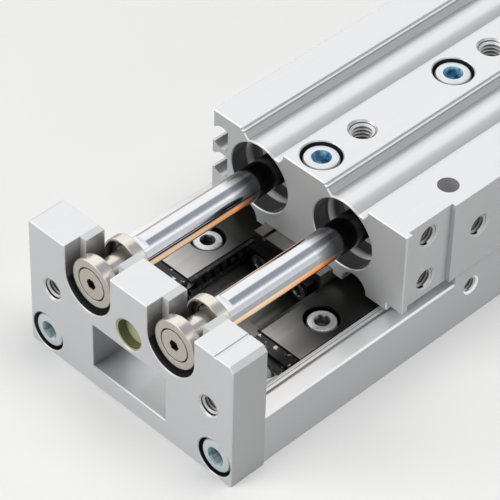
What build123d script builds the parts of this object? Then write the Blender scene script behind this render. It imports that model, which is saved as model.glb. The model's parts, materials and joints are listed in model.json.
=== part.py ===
from build123d import *
import math
import os

# Slide table cylinder, shown with its table fully run out.
# Millimetres. X runs across the table, +Y from the end plate to the cylinder's rear,
# +Z up from the table's mounting face. The origin is under the middle of the whole
# length, on that face, and the mirror plane between the two rods is X = 0.

# Cylinder bores and stroke
bore_d = 16.0
bore_pitch = 26.0
bore_height = 28.3
stroke = 40.0
closed_gap = 2.3
rod_d = 7.8
running_gap = 0.05
seat_gap = 0.02

# End plate
plate_width = 64.0
plate_height = 35.4
plate_thickness = 10.0
plate_edge_chamfer = 0.22
prong_edge_chamfer = 1.2
prong_groove_offset = 5.4
prong_groove_width = 0.8
prong_groove_depth = 0.2
slot_front_width = 14.4
slot_front_depth = 4.6
slot_rear_width = 10.4
window_width = 23.0
window_sill = 5.4
window_head = 17.9
plate_screw_inset = 4.8
plate_screw_height = 5.3
plate_screw_engagement = 6.0
plate_tap_spacing = 49.4
plate_tap_height = 19.5
bumper_height = 23.0
bumper_hole_d = 8.0
bumper_wall = 0.3
bumper_well = 2.3
bumper_rim_inset = 0.4
bumper_protrusion = 1.9

# Slide table
table_width = 63.0
table_wall_height = 13.8
table_floor = 5.4
pocket_width = 48.4
pocket_front_inset = 6.5
pocket_corner_r = 5.0
wall_ledge = 0.8
wall_ledge_drop = 0.5
wall_line_offset = 1.1
wall_line = 0.25
wall_line_drop = 0.3
wall_groove_offset = 2.0
wall_groove = 0.45
wall_groove_drop = 0.9
wall_groove_step = 0.4
wall_groove_step_drop = 0.4
table_edge_chamfer = 0.4
shoulder_offset = 60.6
shoulder_height = 16.1
shoulder_width = 3.2
table_tap_spacing_x = 55.6
table_tap_spacing_y = 50.0
table_tap_offset = 22.0
table_tap_depth = 8.0
table_pin_d = 4.0
table_pin_depth = 4.4
side_tap_height = 10.0
side_tap_offset = 66.4
side_tap_depth = 5.0

# Guide block, which runs on the rail with two rows of balls
block_width = 47.6
block_height = 7.8
block_length = 76.0
block_offset = 18.9
channel_width = 23.4
channel_web = 2.2
relief_x = 5.6
relief_r = 3.2
relief_depth = 1.1
relief_offset = 4.6
block_screw_spacing_x = 36.5
block_screw_inset = 12.6
block_screw_rows = 3
block_screw_grip = 4.4
ball_d = 2.38
ball_pitch = 2.6
ball_count = 28
ball_height = 11.0
ball_clearance = 0.06
retainer_bottom = 8.4
retainer_top = 12.9
retainer_rail_gap = 0.12
end_cap_thickness = 3.4
end_cap_drop = 0.4
end_cap_side_gap = 0.5
scraper_thickness = 0.8
scraper_drop = 1.2
cap_screw_spacing = 35.0

# Rail, bolted under the cylinder body
rail_width = 21.0
rail_overhang = 3.6
rail_rear_inset = 4.0
rail_under_gap = 0.6
rail_slot_x = 7.4
rail_slot_width = 1.0
rail_slot_depth = 0.9
stop_plate_width = 18.4
stop_plate_thickness = 2.7
stop_plate_drop = 2.3
stop_screw_spacing = 12.2
stop_screw_height = 10.4
stop_screw_length = 10.0

# Cylinder body, one extrusion
body_length = 104.0
body_height = 39.5
body_right = 32.0
body_left = 28.0
keel_bottom = 16.2
lip_inner = 10.6
lip_width = 3.0
hollow_z = 15.2
hollow_r = 3.6
foot_bottom = 14.9
foot_outer = 27.3
overhang_bottom = 16.8
mouth_d = 17.8
mouth_depth = 21.0
channel_wall = 0.8
channel_left = 5.8
channel_right = 7.0
channel_lip_drop = 1.1
channel_ledge_width = 0.8
channel_ledge_drop = 0.5
channel_floor_drop = 2.6
switch_slot_r = 3.2
switch_slot_mouth = 4.3
switch_slot_depth = 4.8
switch_slot_drop = 6.9
switch_slot_pitch = 7.7
switch_slot_centre = 3.0
pad_front_offset = 1.7
pad_rear_offset = 15.4
pad_depth = 1.1
pad_tap_offset = 8.5
pad_tap_drop = 0.5
pad_tap_spacing = 12.9
pad_tap_depth = 6.0
rail_screw_offset = 6.3
rail_screw_pitch = 43.4
rail_screw_rows = 3
top_tap_offset = 19.4
top_tap_depth = 9.0
top_pin_x = 26.1
top_pin_d = 5.0
top_pin_depth = 6.0
top_pin_slot = 1.0
port_offset = 24.4
passage_d = 2.4
body_edge_chamfer = 0.3

# Rod covers, head caps and their rings
front_ring_offset = 9.6
rear_ring_offset = 2.4
ring_thickness = 1.0
ring_groove_depth = 0.4
ring_band = 1.6
ring_gap_angle = 46.0
ring_ear_r = 1.5
ring_ear_hole_d = 1.2
ring_ear_offset = 0.5
ring_turn = 300.0
seal_section = 2.2
seal_depth = 3.2
seal_lip = 1.0
o_ring_section = 1.5
o_ring_offset = 4.0
spin_pocket_d = 9.0
spin_pocket_depth = 4.0

# Pistons
piston_nose_d = 12.0
piston_nose_length = 5.6
piston_seal_section = 1.8
piston_seal_width = 2.2
magnet_section = 2.2
magnet_width = 2.6
wear_ring_section = 0.9
wear_ring_width = 2.6
end_bumper_thickness = 1.0
piston_stop_gap = 0.3

# Rod ends in the end plate
bush_inset = 1.2
bush_flange_d = 12.4
bush_flange_thickness = 3.2
bush_neck_d = 6.6
bush_edge_r = 0.5
bush_screw_head_d = 8.0
bush_screw_head_height = 2.2
bush_screw_d = 4.0
bush_screw_length = 18.0
bush_screw_hex = 2.5
collar_gap = 0.4
collar_d = 12.6
collar_thickness = 3.0
collar_cup_d = 11.4
collar_cup_depth = 1.8
rod_spigot_d = 6.0
rod_flat_length = 3.0
rod_flat_across = 6.4

# Threads, drawn at their nominal diameter, and socket head screws
m2 = dict(d=2.0, head_d=3.8, head_h=1.3, hex=1.3)
m2_5 = dict(d=2.5, head_d=5.0, head_h=1.6, hex=1.5)
m4 = dict(d=4.0, head_d=7.0, head_h=4.0, hex=3.0)
m5 = dict(d=5.0, head_d=8.5, head_h=5.0, hex=4.0)
m6 = dict(d=6.0)
tap_countersink = 0.5
head_recess = 0.5
head_chamfer = 0.5
counterbore_gap = 0.65
counterbore_rim = 0.25
flat_head_edge = 0.2
shank_gap = 0.05
socket_depth_ratio = 0.5

# Stations along Y
overall_length = plate_thickness + closed_gap + stroke + body_length
plate_front = -overall_length / 2
plate_rear = plate_front + plate_thickness
body_front = plate_rear + closed_gap + stroke
body_rear = body_front + body_length
table_length = body_length + closed_gap
table_rear = plate_rear + table_length
block_front = plate_rear + block_offset
block_rear = block_front + block_length
rail_front = body_front - rail_overhang
rail_rear = body_rear - rail_rear_inset
cover_front = body_front + front_ring_offset + ring_thickness
cover_length = mouth_depth - front_ring_offset - ring_thickness
head_cap_length = mouth_depth - rear_ring_offset - ring_thickness
chamber_front = body_front + mouth_depth
chamber_rear = body_rear - mouth_depth
piston_front = chamber_front + piston_stop_gap
piston_length = chamber_rear - chamber_front - stroke - 2 * piston_stop_gap
bush_front = plate_front + bush_inset
collar_front = plate_rear + collar_gap
rod_shoulder = collar_front + collar_thickness

# Heights
block_top = table_floor + block_height
web_top = table_floor + channel_web
rail_bottom = web_top + rail_under_gap
rail_height = keel_bottom - rail_bottom
rod_sides = {"left": -bore_pitch / 2, "right": bore_pitch / 2}
screw_stations = [body_front + rail_screw_offset + i * rail_screw_pitch for i in range(rail_screw_rows)]
tap_stations = [body_front + top_tap_offset + i * rail_screw_pitch for i in range(rail_screw_rows - 1)]
port_stations = [body_front + port_offset, body_rear - port_offset]
block_screw_pitch = (block_length - 2 * block_screw_inset) / (block_screw_rows - 1)
block_screw_places = [(side * block_screw_spacing_x / 2, block_front + block_screw_inset + i * block_screw_pitch)
                      for side in (-1, 1) for i in range(block_screw_rows)]
ball_x = (rail_width + channel_width) / 4
groove_r = ball_d / 2 + ball_clearance
beyond = 1.0

os.makedirs("parts", exist_ok=True)


def along_y(profile, start, length):
    """Extrude an X-Z profile from the station start, towards +Y."""
    return extrude(Plane.XZ.offset(-start) * profile, amount=-length)


def bar_y(x, z, diameter, start, length):
    return along_y(Pos(x, z) * Circle(diameter / 2), start, length)


def bar_z(x, y, diameter, bottom, height):
    return extrude(Plane.XY.offset(bottom) * (Pos(x, y) * Circle(diameter / 2)), amount=height)


def bar_x(y, z, diameter, start, length):
    """A round bar from X = start; a negative length runs towards -X."""
    return extrude(Plane.YZ.offset(start) * (Pos(y, z) * Circle(diameter / 2)), amount=length)


def block(x0, x1, y0, y1, z0, z1):
    return Pos((x0 + x1) / 2, (y0 + y1) / 2, (z0 + z1) / 2) * Box(x1 - x0, y1 - y0, z1 - z0)


def outline(*points):
    return make_face(Polyline(*points, close=True))


def cone_cut(plane, diameter, depth=tap_countersink):
    """The countersink at a hole's mouth, running down from the plane."""
    wide = plane * Circle(diameter / 2 + depth)
    narrow = plane.offset(-depth) * Circle(diameter / 2)
    return loft([wide, narrow])


def mouth_plane(x, y, z, axis):
    return Plane(origin=(x, y, z), z_dir=axis)


def tapped_hole(x, y, z, axis, diameter, depth):
    """A blind hole with a countersunk mouth at (x, y, z); axis points out of the mouth."""
    plane = mouth_plane(x, y, z, axis)
    return extrude(plane * Circle(diameter / 2), amount=-depth) + cone_cut(plane, diameter)


def counterbored_hole(x, y, z, axis, screw, depth):
    """Head pocket and clearance hole of a socket head screw, from the mouth inwards."""
    plane = mouth_plane(x, y, z, axis)
    pocket_d = screw["head_d"] + 2 * counterbore_gap
    pocket = extrude(plane * Circle(pocket_d / 2), amount=-(screw["head_h"] + head_recess))
    shank = extrude(plane * Circle(screw["d"] / 2 + shank_gap), amount=-depth)
    return pocket + shank + cone_cut(plane, pocket_d, counterbore_rim)


def socket_screw(x, y, z, axis, screw, length):
    """A socket head cap screw whose mouth is at (x, y, z), sunk by the head recess."""
    top = mouth_plane(x, y, z, axis).offset(-head_recess)
    head = extrude(top * Circle(screw["head_d"] / 2), amount=-screw["head_h"])
    head = chamfer(head.edges().filter_by(GeomType.CIRCLE).group_by(Axis((x, y, z), axis))[-1], head_chamfer)
    socket = extrude(top * RegularPolygon(screw["hex"] / 2, 6, major_radius=False),
                     amount=-screw["head_h"] * socket_depth_ratio)
    shank_top = top.offset(-screw["head_h"])
    shank = extrude(shank_top * Circle(screw["d"] / 2), amount=-length)
    return head + shank - socket


def ring_y(x, z, inner_d, outer_d, start, length):
    return bar_y(x, z, outer_d, start, length) - bar_y(x, z, inner_d, start - beyond, length + 2 * beyond)


def write(name, solid):
    export_step(solid, os.path.join("parts", name + ".step"))


def write_group(name, solids):
    write(name, Compound(children=[s for piece in solids for s in piece.solids()]))


# Cylinder body

def channel_profile(x):
    """The hollow in the top over one bore: its floor follows the bore's wall."""
    lip = body_height - channel_lip_drop
    floor = body_height - channel_floor_drop
    ledge = body_height - channel_ledge_drop
    wall = x - channel_left + channel_ledge_width
    cut = outline((x - channel_left, body_height + beyond), (x - channel_left, ledge), (wall, ledge), (wall, lip),
                  (wall + channel_floor_drop - channel_lip_drop, floor),
                  (x + channel_right - channel_lip_drop, floor), (x + channel_right, lip),
                  (x + channel_right, body_height + beyond))
    return cut - Pos(x, bore_height) * Circle(mouth_d / 2 + channel_wall)


def switch_slot_profile(z):
    """A C-shaped groove that grips a round sensor, open to the left."""
    centre = -body_left + switch_slot_centre
    inner = -body_left + switch_slot_depth
    keep = Pos((inner + centre - beyond * switch_slot_depth) / 2, z)
    width = inner - (centre - beyond * switch_slot_depth)
    round_part = (Pos(centre, z) * Circle(switch_slot_r)) & (keep * Rectangle(width, 2 * switch_slot_r + beyond))
    mouth = Pos((-body_left - beyond + centre) / 2, z) * Rectangle(centre + body_left + beyond, switch_slot_mouth)
    return round_part + mouth


def body_profile():
    half = outline((0, body_height), (body_right, body_height), (body_right, overhang_bottom),
                   (foot_outer, overhang_bottom), (foot_outer, foot_bottom), (lip_inner, foot_bottom),
                   (lip_inner, keel_bottom), (0, keel_bottom))
    left = outline((0, body_height), (-body_left, body_height), (-body_left, foot_bottom),
                   (-lip_inner, foot_bottom), (-lip_inner, keel_bottom), (0, keel_bottom))
    profile = half + left
    for side in (-1, 1):
        profile -= Pos(side * (lip_inner + lip_width + hollow_r), hollow_z) * Circle(hollow_r)
    for x in rod_sides.values():
        profile -= channel_profile(x)
        profile -= Pos(x, bore_height) * Circle(bore_d / 2)
    for i in range(2):
        profile -= switch_slot_profile(body_height - switch_slot_drop - i * switch_slot_pitch)
    return profile


def sawn_edges(face):
    """The edges of a sawn end that are broken: all but those of the switch slots."""
    slots_right = switch_slot_depth - body_left
    slots_top = body_height - channel_floor_drop
    return [edge for edge in face.edges() if edge.center().X > slots_right or edge.center().Z > slots_top]


def cylinder_body():
    body = along_y(body_profile(), body_front, body_length)
    for x in rod_sides.values():
        for mouth in (body_front, body_rear - mouth_depth):
            body -= bar_y(x, bore_height, mouth_d, mouth, mouth_depth)
    for end in (0, -1):
        body = chamfer(sawn_edges(body.faces().sort_by(Axis.Y)[end]), body_edge_chamfer)
    for x in rod_sides.values():
        for groove in ring_grooves():
            body -= bar_y(x, bore_height, mouth_d + 2 * ring_groove_depth, groove, ring_thickness)
    body -= block(body_right - pad_depth, body_right + beyond, body_front + pad_front_offset,
                  body_front + pad_rear_offset, 0, body_height + beyond)
    for y in screw_stations:
        body -= counterbored_hole(0, y, body_height, (0, 0, 1), m5, body_height - keel_bottom + beyond)
    for y in tap_stations:
        body -= tapped_hole(0, y, body_height, (0, 0, 1), m6["d"], top_tap_depth)
    body -= bar_z(top_pin_x, tap_stations[0], top_pin_d, body_height - top_pin_depth, top_pin_depth + beyond)
    pin_slot = Pos(top_pin_x, tap_stations[-1]) * SlotCenterToCenter(top_pin_slot, top_pin_d, rotation=90)
    body -= extrude(Plane.XY.offset(body_height - top_pin_depth) * pin_slot, amount=top_pin_depth + beyond)
    for side in (-1, 1):
        z = bore_height - pad_tap_drop + side * pad_tap_spacing / 2
        body -= tapped_hole(body_right - pad_depth, body_front + pad_tap_offset, z, (1, 0, 0), m5["d"],
                            pad_tap_depth)
    bore_wall_x = bore_pitch / 2 + bore_d / 4
    for y in port_stations:
        body -= tapped_hole(body_right, y, bore_height, (1, 0, 0), m5["d"], body_right - bore_wall_x)
        body -= bar_x(y, bore_height, passage_d, -bore_pitch / 2, bore_pitch)
    return body


def ring_grooves():
    return (body_front + front_ring_offset, body_rear - rear_ring_offset - ring_thickness)


def retaining_ring(x, start, turn):
    """An internal circlip with two eared ends, sprung into its groove."""
    outer_r = mouth_d / 2 + ring_groove_depth - seat_gap
    inner_r = outer_r - ring_band
    band = Circle(outer_r) - Circle(inner_r)
    reach = 2 * outer_r
    half_gap = math.radians(ring_gap_angle / 2)
    wedge = outline((0, 0), (reach * math.cos(half_gap), reach * math.sin(half_gap)),
                    (reach * math.cos(half_gap), -reach * math.sin(half_gap)))
    band -= wedge
    ear_r = inner_r - ring_ear_offset
    ear_angle = ring_gap_angle / 2 + math.degrees(ring_ear_r / ear_r)
    for side in (-1, 1):
        ear = Rot(0, 0, side * ear_angle) * Pos(ear_r, 0)
        band += ear * Circle(ring_ear_r)
        band -= ear * Circle(ring_ear_hole_d / 2)
    return along_y(Pos(x, bore_height) * (Rot(0, 0, turn) * band), start, ring_thickness)


def rod_cover(x):
    """The bush that closes a bore at the front and guides the rod."""
    cover = bar_y(x, bore_height, mouth_d - 2 * seat_gap, cover_front, cover_length)
    cover -= bar_y(x, bore_height, rod_d + 2 * running_gap, cover_front - beyond, cover_length + 2 * beyond)
    seal_d = rod_d + 2 * running_gap + 2 * seal_section
    cover -= bar_y(x, bore_height, seal_d, cover_front - beyond, seal_depth + beyond)
    groove_d = mouth_d - 2 * seat_gap
    cover -= ring_y(x, bore_height, groove_d - 2 * o_ring_section, groove_d + beyond,
                    cover_front + o_ring_offset, o_ring_section)
    return cover


def rod_seal(x):
    inner_d = rod_d + 2 * running_gap
    seal = ring_y(x, bore_height, inner_d, inner_d + 2 * (seal_section - seat_gap), cover_front, seal_depth)
    lip_gap = ring_y(x, bore_height, inner_d + seal_section / 2, inner_d + seal_section / 2 + seal_lip,
                     cover_front - beyond, beyond + seal_lip)
    return seal - lip_gap


def cover_o_ring(x, start):
    outer_d = mouth_d - 2 * seat_gap
    return ring_y(x, bore_height, outer_d - 2 * o_ring_section + 2 * seat_gap, outer_d,
                  start + seat_gap, o_ring_section - 2 * seat_gap)


def head_cap(x):
    """The plug that closes a bore at the rear."""
    cap_rear = chamber_rear + head_cap_length
    cap = bar_y(x, bore_height, mouth_d - 2 * seat_gap, chamber_rear, head_cap_length)
    cap -= bar_y(x, bore_height, spin_pocket_d, cap_rear - spin_pocket_depth, spin_pocket_depth + beyond)
    groove_d = mouth_d - 2 * seat_gap
    return cap - ring_y(x, bore_height, groove_d - 2 * o_ring_section, groove_d + beyond,
                        chamber_rear + o_ring_offset, o_ring_section)


# Rail

def rail_profile():
    rail = Pos(0, rail_bottom + rail_height / 2) * Rectangle(rail_width, rail_height)
    for side in (-1, 1):
        rail -= Pos(side * ball_x, ball_height) * Circle(groove_r)
        slot = Pos(side * rail_slot_x, keel_bottom - rail_slot_depth / 2)
        rail -= slot * Rectangle(rail_slot_width, rail_slot_depth)
    return rail


def guide_rail():
    rail = along_y(rail_profile(), rail_front, rail_rear - rail_front)
    for y in screw_stations:
        rail -= bar_z(0, y, m5["d"] + 2 * shank_gap, rail_bottom - beyond, rail_height + 2 * beyond)
    for side in (-1, 1):
        rail -= bar_y(side * stop_screw_spacing / 2, stop_screw_height, m2_5["d"] + 2 * shank_gap,
                      rail_front - beyond, stop_screw_length + beyond)
    return rail


def rail_stop_plate():
    top = keel_bottom - stop_plate_drop
    plate = block(-stop_plate_width / 2, stop_plate_width / 2, rail_front - stop_plate_thickness, rail_front,
                  rail_bottom, top)
    for side in (-1, 1):
        x = side * stop_screw_spacing / 2
        plate -= bar_y(x, stop_screw_height, m2_5["head_d"] + 2 * shank_gap,
                       rail_front - stop_plate_thickness - beyond, m2_5["head_h"] + beyond)
        plate -= bar_y(x, stop_screw_height, m2_5["d"] + 2 * shank_gap,
                       rail_front - stop_plate_thickness, stop_plate_thickness + beyond)
    return plate


def flat_head_screw(x, y, z, screw, length):
    """A low cylindrical head with a hexagon socket, facing -Y, its face at y."""
    head = bar_y(x, z, screw["head_d"], y, screw["head_h"])
    head = chamfer(head.edges().filter_by(GeomType.CIRCLE).sort_by(Axis.Y)[0], flat_head_edge)
    socket = along_y(Pos(x, z) * RegularPolygon(screw["hex"] / 2, 6, major_radius=False), y,
                     screw["head_h"] * socket_depth_ratio)
    return head + bar_y(x, z, screw["d"], y + screw["head_h"], length) - socket


# Slide table

def table_wall_steps(side):
    """Cuts in the top of one side wall: a ledge beside the pocket, a fine line and a stepped groove."""
    edge = pocket_width / 2
    groove = edge + wall_groove_offset
    steps = ((edge, wall_ledge, wall_ledge_drop), (edge + wall_line_offset, wall_line, wall_line_drop),
             (groove, wall_groove, wall_groove_drop), (groove + wall_groove, wall_groove_step, wall_groove_step_drop))
    cuts = []
    for start, width, drop in steps:
        cuts.append(Pos(side * (start + width / 2), table_wall_height - drop / 2 + beyond / 2)
                    * Rectangle(width, drop + beyond))
    return cuts


def slide_table():
    half = table_width / 2
    corner = table_edge_chamfer
    profile = outline((-half, 0), (half, 0), (half, table_wall_height - corner),
                      (half - corner, table_wall_height), (corner - half, table_wall_height),
                      (-half, table_wall_height - corner))
    for side in (-1, 1):
        for cut in table_wall_steps(side):
            profile -= cut
    table = along_y(profile, plate_rear, table_length)
    shoulder_start = plate_rear + shoulder_offset
    table += block(half - shoulder_width, half, shoulder_start, table_rear,
                   table_wall_height - 2 * table_edge_chamfer, shoulder_height)
    pocket_start = plate_rear + pocket_front_inset
    pocket = block(-pocket_width / 2, pocket_width / 2, pocket_start, table_rear + beyond, table_floor,
                   shoulder_height + beyond)
    pocket = fillet(pocket.edges().filter_by(Axis.Z).group_by(Axis.Y)[0], pocket_corner_r)
    table -= pocket
    table -= block(-window_width / 2, window_width / 2, plate_rear - beyond, pocket_start + pocket_corner_r,
                   window_sill, shoulder_height)
    for x, z in plate_screw_places():
        table -= bar_y(x, z, m5["d"] + 2 * shank_gap, plate_rear - beyond, plate_screw_engagement + 2 * beyond)
    for side in (-1, 1):
        for row in range(2):
            y = plate_rear + table_tap_offset + row * table_tap_spacing_y
            table -= tapped_hole(side * table_tap_spacing_x / 2, y, 0, (0, 0, -1), m5["d"], table_tap_depth)
    table -= tapped_hole(half, plate_rear + side_tap_offset, side_tap_height, (1, 0, 0), m4["d"], side_tap_depth)
    table -= bar_z(0, plate_rear + table_tap_offset, table_pin_d, -beyond, table_pin_depth + beyond)
    for x, y in block_screw_places:
        table -= bar_z(x, y, m4["d"] + 2 * shank_gap, table_floor - block_screw_grip, block_screw_grip + beyond)
    return table


def guide_block():
    body = Pos(0, table_floor + block_height / 2) * Rectangle(block_width, block_height)
    body -= Pos(0, web_top + block_height / 2) * Rectangle(channel_width, block_height)
    for side in (-1, 1):
        body -= Pos(side * ball_x, ball_height) * Circle(groove_r)
    solid = along_y(body, block_front, block_length)
    relief_z = web_top + relief_r - relief_depth
    for side in (-1, 1):
        solid -= bar_y(side * relief_x, relief_z, 2 * relief_r, block_front + relief_offset, block_length)
    for x, y in block_screw_places:
        solid -= counterbored_hole(x, y, block_top, (0, 0, 1), m4, block_height + beyond)
    for start, step in ((block_front, 1), (block_rear, -1)):
        for side in (-1, 1):
            depth = m2["head_d"] + shank_gap
            first = start if step > 0 else start - depth
            solid -= bar_y(side * cap_screw_spacing / 2, cap_screw_height(), m2["d"] + 2 * shank_gap, first, depth)
    return solid


def cap_screw_height():
    return table_floor + m2["head_d"] / 2 + end_cap_drop


def end_cap(face, step):
    """The moulded cap that turns the balls round at one end of the guide block."""
    top = block_top - end_cap_drop
    start = face if step > 0 else face - end_cap_thickness
    half = block_width / 2 - end_cap_side_gap
    cap = block(-half, half, start, start + end_cap_thickness, table_floor + seat_gap, top)
    cap -= block(-channel_width / 2, channel_width / 2, start - beyond, start + end_cap_thickness + beyond,
                 web_top, top + beyond)
    for side in (-1, 1):
        cap -= bar_y(side * cap_screw_spacing / 2, cap_screw_height(), m2["d"] + 2 * shank_gap, start - beyond,
                     end_cap_thickness + 2 * beyond)
    return cap


def scraper(face, step):
    """The thin wiper plate in front of an end cap."""
    top = block_top - scraper_drop
    start = face if step > 0 else face - scraper_thickness
    half = block_width / 2 - 2 * end_cap_side_gap
    plate = block(-half, half, start, start + scraper_thickness, table_floor + end_cap_drop, top)
    plate -= block(-channel_width / 2 + seat_gap, channel_width / 2 - seat_gap, start - beyond,
                   start + scraper_thickness + beyond, web_top, top + beyond)
    for side in (-1, 1):
        plate -= bar_y(side * cap_screw_spacing / 2, cap_screw_height(), m2["d"] + 2 * shank_gap, start - beyond,
                       scraper_thickness + 2 * beyond)
    return plate


def cap_screws():
    """Low round-headed screws that hold a scraper and an end cap to the guide block."""
    screws = []
    outside = end_cap_thickness + scraper_thickness
    for face, step in ((block_front - outside, -1), (block_rear + outside, 1)):
        for side in (-1, 1):
            seat = mouth_plane(side * cap_screw_spacing / 2, face, cap_screw_height(), (0, step, 0))
            head = extrude(seat * Circle(m2["head_d"] / 2), amount=m2["head_h"])
            socket = extrude(seat.offset(m2["head_h"]) * RegularPolygon(m2["hex"] / 2, 6, major_radius=False),
                             amount=-m2["head_h"] * socket_depth_ratio)
            screws.append(head + extrude(seat * Circle(m2["d"] / 2), amount=-(outside + m2["head_d"])) - socket)
    return screws


def balls():
    row_length = (ball_count - 1) * ball_pitch
    first = block_front + (block_length - row_length) / 2
    return [Pos(side * ball_x, first + i * ball_pitch, ball_height) * Sphere(ball_d / 2)
            for side in (-1, 1) for i in range(ball_count)]


def ball_retainer(side):
    """The slotted strip beside the rail that keeps the balls in where the rail has run out."""
    inner = rail_width / 2 + retainer_rail_gap
    outer = channel_width / 2 - seat_gap
    x0, x1 = sorted((side * inner, side * outer))
    strip = block(x0, x1, block_front + seat_gap, block_rear - seat_gap, retainer_bottom, retainer_top)
    return strip - bar_y(side * ball_x, ball_height, 2 * groove_r, block_front - beyond, block_length + 2 * beyond)


# End plate

def plate_screw_places():
    """The end plate's screws stand in the table's side walls."""
    x = table_width / 2 - plate_screw_inset
    return [(-x, plate_screw_height), (x, plate_screw_height)]


def slot_profile(x, width):
    rise = plate_height - bore_height + beyond
    return Pos(x, bore_height) * Circle(width / 2) + Pos(x, bore_height + rise / 2) * Rectangle(width, rise)


def end_plate():
    half = plate_width / 2
    chamfer_x = prong_edge_chamfer
    profile = outline((-half, 0), (half, 0), (half, plate_height - chamfer_x),
                      (half - chamfer_x, plate_height), (chamfer_x / 2 - half, plate_height),
                      (-half, plate_height - chamfer_x / 2))
    for x in rod_sides.values():
        profile -= slot_profile(x, slot_rear_width)
    window_height = window_head - window_sill
    profile -= Pos(0, window_sill + window_height / 2) * Rectangle(window_width, window_height)
    profile -= Pos(0, bumper_height) * Circle(bumper_hole_d / 2)
    groove_x = half - prong_groove_offset
    profile -= Pos(groove_x, plate_height) * Rectangle(prong_groove_width, 2 * prong_groove_depth)
    plate = along_y(profile, plate_front, plate_thickness)
    for x in rod_sides.values():
        plate -= along_y(slot_profile(x, slot_front_width), plate_front - beyond, slot_front_depth + beyond)
    plate = chamfer(plate.faces().sort_by(Axis.Y)[0].edges(), plate_edge_chamfer)
    for x, z in plate_screw_places():
        plate -= counterbored_hole(x, plate_front, z, (0, -1, 0), m5, plate_thickness + beyond)
    for side in (-1, 1):
        plate -= tapped_hole(side * plate_tap_spacing / 2, plate_front, plate_tap_height, (0, -1, 0), m5["d"],
                             plate_thickness + beyond)
    return plate


def end_bumper():
    """The urethane stop that meets the cylinder body when the table runs in."""
    hole = bumper_hole_d - 2 * seat_gap
    length = plate_thickness - bumper_rim_inset + bumper_protrusion
    bumper = bar_y(0, bumper_height, hole, plate_front + bumper_rim_inset, length)
    well = bar_y(0, bumper_height, hole - 2 * bumper_wall, plate_front, bumper_rim_inset + bumper_well)
    return bumper - well


# Rods and pistons

def floating_bush(x):
    """The flanged button that hangs the rod in the end plate's slot."""
    flange = bar_y(x, bore_height, bush_flange_d, bush_front, bush_flange_thickness)
    flange = fillet(flange.edges().filter_by(GeomType.CIRCLE), bush_edge_r)
    neck_start = bush_front + bush_flange_thickness
    neck = bar_y(x, bore_height, bush_neck_d, neck_start, collar_front + collar_cup_depth - neck_start)
    bush = flange + neck
    bush -= bar_y(x, bore_height, bush_screw_head_d + 2 * shank_gap, bush_front - beyond,
                  bush_screw_head_height + beyond)
    bush -= cone_cut(mouth_plane(x, bush_front, bore_height, (0, -1, 0)), bush_screw_head_d + 2 * shank_gap,
                     flat_head_edge)
    hole_length = bush_screw_head_height + bush_screw_length
    return bush - bar_y(x, bore_height, bush_screw_d + 2 * shank_gap, bush_front, hole_length)


def bush_screw(x):
    screw = dict(d=bush_screw_d, head_d=bush_screw_head_d, head_h=bush_screw_head_height, hex=bush_screw_hex)
    return flat_head_screw(x, bush_front, bore_height, screw, bush_screw_length)


def rod_collar(x):
    collar = bar_y(x, bore_height, collar_d, collar_front, collar_thickness)
    collar = fillet(collar.edges().filter_by(GeomType.CIRCLE), bush_edge_r)
    collar -= bar_y(x, bore_height, collar_cup_d, collar_front - beyond, collar_cup_depth + beyond)
    return collar - bar_y(x, bore_height, rod_spigot_d + 2 * shank_gap, collar_front, collar_thickness + beyond)


def piston_rod(x):
    """Chromed rod: a spigot for the collar, two spanner flats, and a tail in the piston."""
    rod_rear = piston_front + piston_length - end_bumper_thickness
    rod = bar_y(x, bore_height, rod_d, rod_shoulder, rod_rear - rod_shoulder)
    spigot_start = collar_front + collar_cup_depth
    rod += bar_y(x, bore_height, rod_spigot_d, spigot_start, rod_shoulder - spigot_start)
    for side in (-1, 1):
        flat = block(x - rod_d, x + rod_d, rod_shoulder, rod_shoulder + rod_flat_length, 0, rod_d)
        rod -= Pos(0, 0, bore_height + (rod_flat_across / 2 if side > 0 else -rod_flat_across / 2 - rod_d)) * flat
    screw_tip = bush_front + bush_screw_head_height + bush_screw_length
    return rod - bar_y(x, bore_height, bush_screw_d + 2 * shank_gap, spigot_start, screw_tip - spigot_start + beyond)


def piston_grooves():
    """Start, width and section of the piston's grooves: seal, magnet, wear ring."""
    body_start = piston_front + end_bumper_thickness + piston_nose_length
    body_end = piston_front + piston_length - end_bumper_thickness
    widths = (piston_seal_width, magnet_width, wear_ring_width)
    land = (body_end - body_start - sum(widths)) / (len(widths) + 1)
    starts = [body_start + land, body_start + 2 * land + widths[0], body_start + 3 * land + widths[0] + widths[1]]
    return list(zip(starts, widths, (piston_seal_section, magnet_section, wear_ring_section)))


def piston(x):
    outer = bore_d - 2 * running_gap
    start = piston_front + end_bumper_thickness
    body = bar_y(x, bore_height, piston_nose_d, start, piston_nose_length)
    body_start = start + piston_nose_length
    body += bar_y(x, bore_height, outer, body_start, piston_front + piston_length - end_bumper_thickness - body_start)
    body -= bar_y(x, bore_height, rod_d + 2 * seat_gap, start - beyond, piston_length)
    for groove, width, section in piston_grooves():
        body -= ring_y(x, bore_height, outer - 2 * section, outer + beyond, groove, width)
    return body


def piston_band(x, index):
    """One of the rings in the piston's grooves."""
    start, width, section = piston_grooves()[index]
    outer = bore_d - 2 * running_gap
    return ring_y(x, bore_height, outer - 2 * section + 2 * seat_gap, outer, start + seat_gap, width - 2 * seat_gap)


def piston_bumpers(x):
    front = ring_y(x, bore_height, rod_d + 2 * seat_gap, piston_nose_d, piston_front, end_bumper_thickness)
    rear_start = piston_front + piston_length - end_bumper_thickness
    rear = bar_y(x, bore_height, piston_nose_d, rear_start, end_bumper_thickness)
    return [front, rear]


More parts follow.
